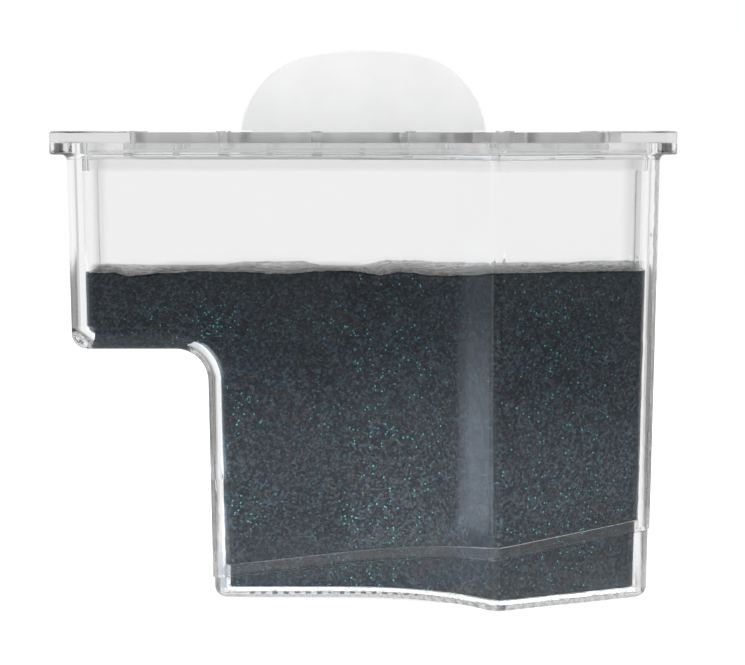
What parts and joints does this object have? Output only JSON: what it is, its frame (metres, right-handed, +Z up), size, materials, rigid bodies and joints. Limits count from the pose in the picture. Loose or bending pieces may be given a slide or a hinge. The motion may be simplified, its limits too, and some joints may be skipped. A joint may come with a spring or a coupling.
{
  "type": "canister filter media cartridge",
  "caption": "Clear stepped drop-in aquarium filter cartridge filled with black carbon granules, with a grille lid, a slotted base and a rounded fold-down pull tab.",
  "frame": {"origin": "centre of the part's footprint box, on the flat underside of the base", "axes": "+X along the cartridge to the viewer's right in the picture, +Y from the ridged front to the flat back, +Z up through the lid"},
  "size_m": [0.1432, 0.0704, 0.1265],
  "materials": {
    "clear_plastic": "clear, polished moulded plastic",
    "carbon_granules": "loose dark granules of charred coconut shell with a slight sparkle",
    "fleece": "pale felted fleece",
    "screen_mesh": "fine pale nylon mesh",
    "tab_plastic": "pale grey, slightly cloudy plastic"
  },
  "bodies": {
    "housing": {"housing_shell": "clear_plastic", "carbon_bed": "carbon_granules"},
    "lid": {"lid_frame": "clear_plastic", "inlet_screen": "screen_mesh", "tab_hinge_pin": "tab_plastic"},
    "tab": {"pull_tab": "tab_plastic"},
    "base": {"base_cap": "clear_plastic", "outlet_screen": "fleece"}
  },
  "joints": [
    {"name": "lid_lift", "type": "slide", "parent": "housing", "child": "lid", "axis": [0, 0, 1], "range_m": [0, 0.04]},
    {"name": "tab_fold", "type": "hinge", "parent": "lid", "child": "tab", "pos_m": [0, 0.004, 0.1062], "axis": [-1, 0, 0], "range_deg": [-20, 90]},
    {"name": "base_pull", "type": "slide", "parent": "housing", "child": "base", "axis": [0, 0, -1], "range_m": [0, 0.03]}
  ]
}
